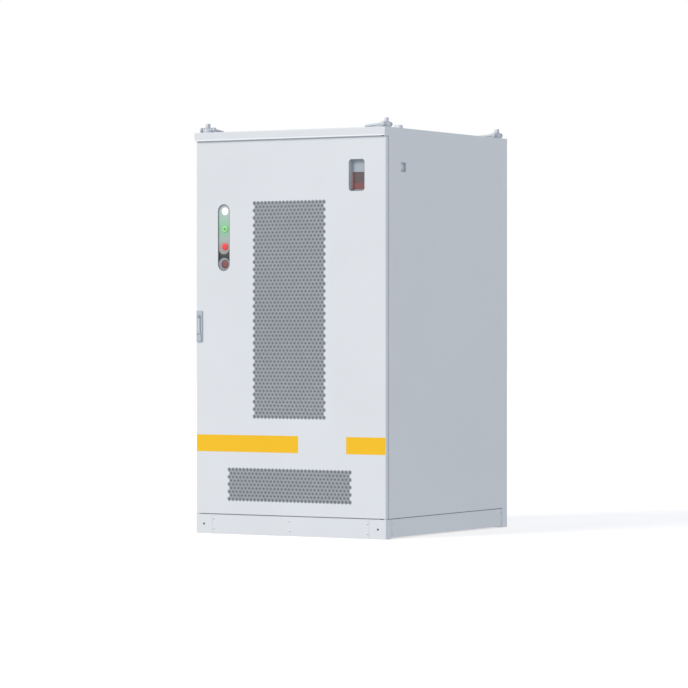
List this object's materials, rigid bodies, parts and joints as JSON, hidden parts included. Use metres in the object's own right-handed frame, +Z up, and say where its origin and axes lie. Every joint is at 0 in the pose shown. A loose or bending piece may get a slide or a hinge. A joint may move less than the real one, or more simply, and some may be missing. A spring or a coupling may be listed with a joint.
{
  "type": "battery storage unit",
  "caption": "Outdoor steel battery storage cabinet with one perforated door, a swing handle, signal lamps, an alarm window, lifting rings and a plinth.",
  "frame": {"origin": "on the floor under the middle of the cabinet", "axes": "+Z up, -Y towards the door, +X to the right seen from the door"},
  "size_m": [1.135, 1.3073, 2.0996],
  "materials": {
    "casing_paint": "satin white powder coat",
    "zinc_steel": "zinc plated",
    "handle_metal": "satin grey powder coat",
    "lock_metal": "polished",
    "seal_rubber": "matte",
    "filter_mat": "matte",
    "cooler_paint": "satin",
    "coil_fins": "matte",
    "fan_plastic": "matte",
    "tray_metal": "satin",
    "lamp_lens": "gloss",
    "stop_plate_plastic": "matte",
    "stop_red": "satin",
    "alarm_grey": "matte",
    "alarm_red": "gloss",
    "module_paint": "satin",
    "link_insulation": "matte",
    "equipment_paint": "satin",
    "toggle_plastic": "matte",
    "canister_red": "gloss",
    "gland_plastic": "matte"
  },
  "bodies": {
    "cabinet": {"plinth_corners": "casing_paint", "plinth_rails": "zinc_steel", "plinth_covers": "casing_paint", "plinth_screws": "zinc_steel", "frame_posts": "zinc_steel", "frame_rails": "zinc_steel", "floor_pan": "zinc_steel", "gland_plate": "zinc_steel", "cable_glands": "gland_plastic", "side_panel_left": "casing_paint", "side_panel_right": "casing_paint", "side_breather": "casing_paint", "rear_panel": "casing_paint", "roof_cap": "casing_paint", "roof_pod": "casing_paint", "hoist_bolts": "zinc_steel", "pivot_pins": "zinc_steel", "rod_keepers": "zinc_steel", "module_rack": "zinc_steel", "battery_modules_left": "module_paint", "battery_modules_right": "module_paint", "module_links": "link_insulation", "control_box": "equipment_paint", "inverter": "equipment_paint", "fire_canister": "canister_red"},
    "door": {"door_skin": "casing_paint", "door_flange": "casing_paint", "door_screens": "casing_paint", "door_stiffeners": "casing_paint", "filter_mats": "filter_mat", "door_seal": "seal_rubber", "pivot_blocks": "zinc_steel", "status_tray": "tray_metal", "status_lamps": "lamp_lens", "stop_collar": "stop_plate_plastic", "alarm_collar": "tray_metal", "alarm_case": "alarm_grey", "alarm_lens": "alarm_red", "handle_base": "handle_metal", "rod_guides": "zinc_steel", "cooling_case": "cooler_paint", "condenser_coil": "coil_fins"},
    "stop_button": {"stop_button": "stop_red"},
    "handle": {"handle_hub": "handle_metal"},
    "lever": {"handle_lever": "handle_metal"},
    "lock_plug": {"lock_plug": "lock_metal"},
    "rod_upper": {"rod_upper": "zinc_steel"},
    "rod_lower": {"rod_lower": "zinc_steel"},
    "condenser_fan": {"condenser_fan": "fan_plastic"},
    "circulation_fan": {"circulation_fan": "fan_plastic"},
    "breaker_toggle": {"breaker_toggle": "toggle_plastic"},
    "swivel_front_left": {"swivel_front_left": "zinc_steel"},
    "bail_front_left": {"bail_front_left": "zinc_steel"},
    "swivel_front_right": {"swivel_front_right": "zinc_steel"},
    "bail_front_right": {"bail_front_right": "zinc_steel"},
    "swivel_rear_left": {"swivel_rear_left": "zinc_steel"},
    "bail_rear_left": {"bail_rear_left": "zinc_steel"},
    "swivel_rear_right": {"swivel_rear_right": "zinc_steel"},
    "bail_rear_right": {"bail_rear_right": "zinc_steel"}
  },
  "joints": [
    {"name": "door_hinge", "type": "hinge", "parent": "cabinet", "child": "door", "pos_m": [0.552, -0.628, 1.05], "axis": [0, 0, 1], "range_deg": [0, 120]},
    {"name": "stop_press", "type": "slide", "parent": "door", "child": "stop_button", "axis": [0, 1, 0], "range_m": [0, 0.004], "stiffness_N_per_m": 800, "springref_m": -0.001},
    {"name": "handle_turn", "type": "hinge", "parent": "door", "child": "handle", "pos_m": [-0.539, -0.63, 1.0015], "axis": [0, 1, 0], "range_deg": [0, 90]},
    {"name": "lever_lift", "type": "hinge", "parent": "handle", "child": "lever", "pos_m": [-0.539, -0.6508, 1.0245], "axis": [1, 0, 0], "range_deg": [0, 40]},
    {"name": "lock_turn", "type": "hinge", "parent": "lever", "child": "lock_plug", "pos_m": [-0.539, -0.6508, 1.109], "axis": [0, 1, 0], "range_deg": [0, 90]},
    {"name": "rod_upper_slide", "type": "slide", "parent": "door", "child": "rod_upper", "axis": [0, 0, -1], "range_m": [0, 0.0151]},
    {"name": "rod_lower_slide", "type": "slide", "parent": "door", "child": "rod_lower", "axis": [0, 0, 1], "range_m": [0, 0.0151]},
    {"name": "condenser_fan_spin", "type": "hinge", "parent": "door", "child": "condenser_fan", "pos_m": [0, -0.577, 1.3915], "axis": [0, 1, 0], "continuous": true},
    {"name": "circulation_fan_spin", "type": "hinge", "parent": "door", "child": "circulation_fan", "pos_m": [0, -0.475, 1.3915], "axis": [0, 1, 0], "continuous": true},
    {"name": "breaker_switch", "type": "hinge", "parent": "cabinet", "child": "breaker_toggle", "pos_m": [-0.255, -0.357, 1.785], "axis": [1, 0, 0], "range_deg": [0, 60]},
    {"name": "swivel_front_left_turn", "type": "hinge", "parent": "cabinet", "child": "swivel_front_left", "pos_m": [-0.528, -0.58, 2.063], "axis": [0, 0, 1], "continuous": true},
    {"name": "bail_front_left_lift", "type": "hinge", "parent": "swivel_front_left", "child": "bail_front_left", "pos_m": [-0.528, -0.58, 2.067], "axis": [1, 0, 0], "range_deg": [0, 190]},
    {"name": "swivel_front_right_turn", "type": "hinge", "parent": "cabinet", "child": "swivel_front_right", "pos_m": [0.528, -0.58, 2.063], "axis": [0, 0, 1], "continuous": true},
    {"name": "bail_front_right_lift", "type": "hinge", "parent": "swivel_front_right", "child": "bail_front_right", "pos_m": [0.528, -0.58, 2.067], "axis": [0, 1, 0], "range_deg": [0, 190]},
    {"name": "swivel_rear_left_turn", "type": "hinge", "parent": "cabinet", "child": "swivel_rear_left", "pos_m": [-0.528, 0.59, 2.063], "axis": [0, 0, 1], "continuous": true},
    {"name": "bail_rear_left_lift", "type": "hinge", "parent": "swivel_rear_left", "child": "bail_rear_left", "pos_m": [-0.528, 0.59, 2.067], "axis": [0, -1, 0], "range_deg": [0, 190]},
    {"name": "swivel_rear_right_turn", "type": "hinge", "parent": "cabinet", "child": "swivel_rear_right", "pos_m": [0.528, 0.59, 2.063], "axis": [0, 0, 1], "continuous": true},
    {"name": "bail_rear_right_lift", "type": "hinge", "parent": "swivel_rear_right", "child": "bail_rear_right", "pos_m": [0.528, 0.59, 2.067], "axis": [0, 1, 0], "range_deg": [0, 190]}
  ],
  "couplings": [
    {"joint": "rod_upper_slide", "follows": "handle_turn", "m_per_rad": 0.0095493},
    {"joint": "rod_lower_slide", "follows": "handle_turn", "m_per_rad": 0.0095493}
  ]
}
